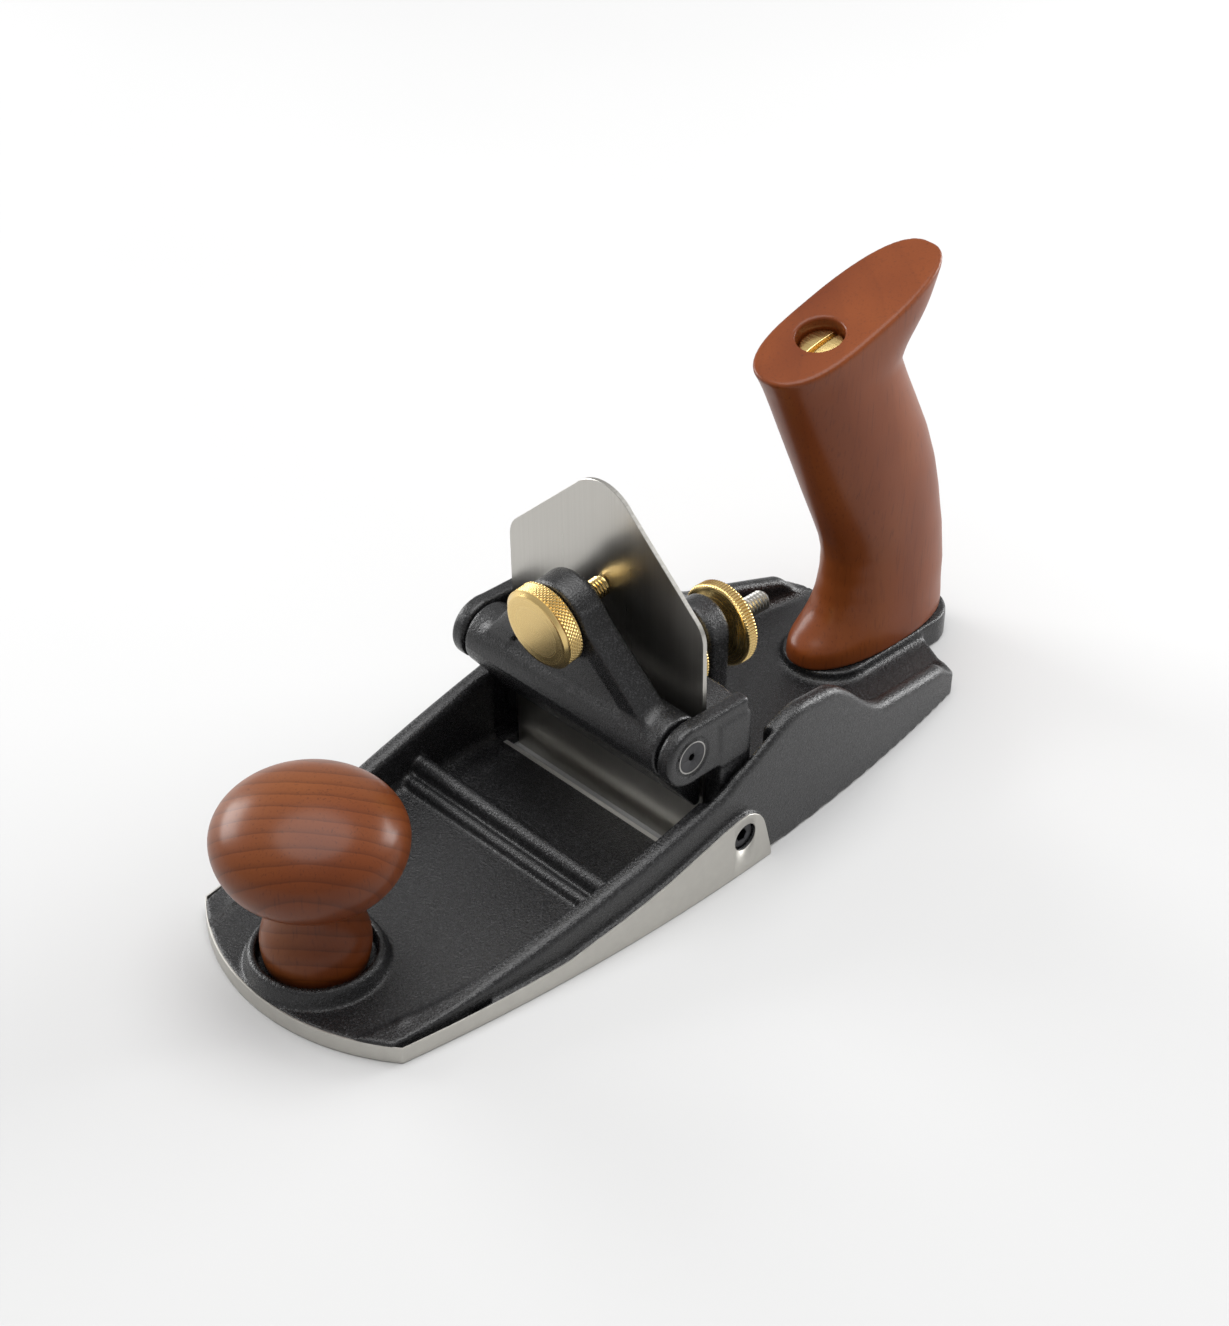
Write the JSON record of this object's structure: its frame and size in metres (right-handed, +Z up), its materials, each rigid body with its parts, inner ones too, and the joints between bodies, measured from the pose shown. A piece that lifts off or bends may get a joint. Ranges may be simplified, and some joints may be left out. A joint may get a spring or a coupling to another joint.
{
  "type": "scraping hand plane",
  "caption": "Cast hand plane for scraping wood, with an upright blade on a tilting frog, a threaded tilt adjuster, a round front knob and a sloping rear handle.",
  "frame": {"origin": "centre of the bounding box in plan, on the plane of the sole", "axes": "+X to the toe along the sole, +Y to the left side of the plane, +Z up from the sole"},
  "size_m": [0.2676, 0.095, 0.132],
  "materials": {
    "body_paint": "black textured paint over a cast body, with the sole, toe edge and lower side pads ground bare",
    "frog_paint": "black satin paint over a casting",
    "cap_paint": "black satin paint with textured recesses",
    "blade_steel": "ground and lapped scraper steel",
    "brass": "turned and knurled brass, lightly polished",
    "steel": "plain turned steel",
    "black_oxide": "black oxide socket screws",
    "wood": "red-brown hardwood, oiled, with dark growth lines"
  },
  "bodies": {
    "body": {"body": "body_paint", "frog_pivot_screws": "black_oxide", "knob_stud": "steel", "front_knob": "wood", "knob_insert": "brass", "rear_handle": "wood", "handle_bolt": "steel", "handle_dowel": "steel", "handle_washer": "steel", "handle_nut": "brass"},
    "frog": {"frog": "frog_paint", "rod_pin": "steel", "cap_pivot_screws": "black_oxide"},
    "blade": {"blade": "blade_steel"},
    "lever_cap": {"lever_cap": "cap_paint"},
    "cap_screw": {"cap_screw": "brass"},
    "cap_knob": {"cap_knob": "brass"},
    "adjust_rod": {"adjust_rod": "steel"},
    "rear_nut": {"rear_nut": "brass"},
    "front_nut": {"front_nut": "brass"},
    "bow_screw": {"bow_screw": "steel"},
    "bow_knob": {"bow_knob": "brass"}
  },
  "joints": [
    {"name": "frog_tilt", "type": "hinge", "parent": "body", "child": "frog", "pos_m": [-0.00055, 0, 0.0123], "axis": [0, 1, 0], "range_deg": [-7, 15]},
    {"name": "blade_slide", "type": "slide", "parent": "frog", "child": "blade", "axis": [0.0436, 0, 0.999], "range_m": [-0.0005, 0.06]},
    {"name": "lever_cap_swing", "type": "hinge", "parent": "frog", "child": "lever_cap", "pos_m": [0.01595, 0, 0.045], "axis": [0, 1, 0], "range_deg": [-5.9, 0]},
    {"name": "cap_screw_travel", "type": "slide", "parent": "lever_cap", "child": "cap_screw", "axis": [0.9877, 0, -0.1564], "range_m": [0, 0.003]},
    {"name": "cap_knob_turn", "type": "hinge", "parent": "cap_screw", "child": "cap_knob", "pos_m": [0.02036, 0, 0.07285], "axis": [0.9877, 0, -0.1564], "range_deg": [0, 1100]},
    {"name": "rod_swing", "type": "hinge", "parent": "frog", "child": "adjust_rod", "pos_m": [-0.00885, 0, 0.04], "axis": [0, 1, 0], "range_deg": [-15.1, 7.1]},
    {"name": "rear_nut_slide", "type": "slide", "parent": "adjust_rod", "child": "rear_nut", "axis": [-1, 0, 0], "range_m": [-0.0036, 0.0076]},
    {"name": "front_nut_slide", "type": "slide", "parent": "adjust_rod", "child": "front_nut", "axis": [-1, 0, 0], "range_m": [-0.0036, 0.0076]},
    {"name": "bow_screw_travel", "type": "slide", "parent": "frog", "child": "bow_screw", "axis": [-1, 0, 0], "range_m": [0, 0.002]},
    {"name": "bow_knob_turn", "type": "hinge", "parent": "bow_screw", "child": "bow_knob", "pos_m": [-0.01035, 0, 0.0205], "axis": [-1, 0, 0], "range_deg": [0, 740]}
  ],
  "couplings": [
    {"joint": "rod_swing", "follows": "frog_tilt", "ratio": -1},
    {"joint": "rear_nut_slide", "follows": "frog_tilt", "m_per_rad": 0.0282},
    {"joint": "front_nut_slide", "follows": "frog_tilt", "m_per_rad": 0.0282},
    {"joint": "cap_knob_turn", "follows": "cap_screw_travel", "rad_per_m": 6283.2},
    {"joint": "lever_cap_swing", "follows": "cap_screw_travel", "rad_per_m": -33.743},
    {"joint": "bow_knob_turn", "follows": "bow_screw_travel", "rad_per_m": 6283.2}
  ]
}
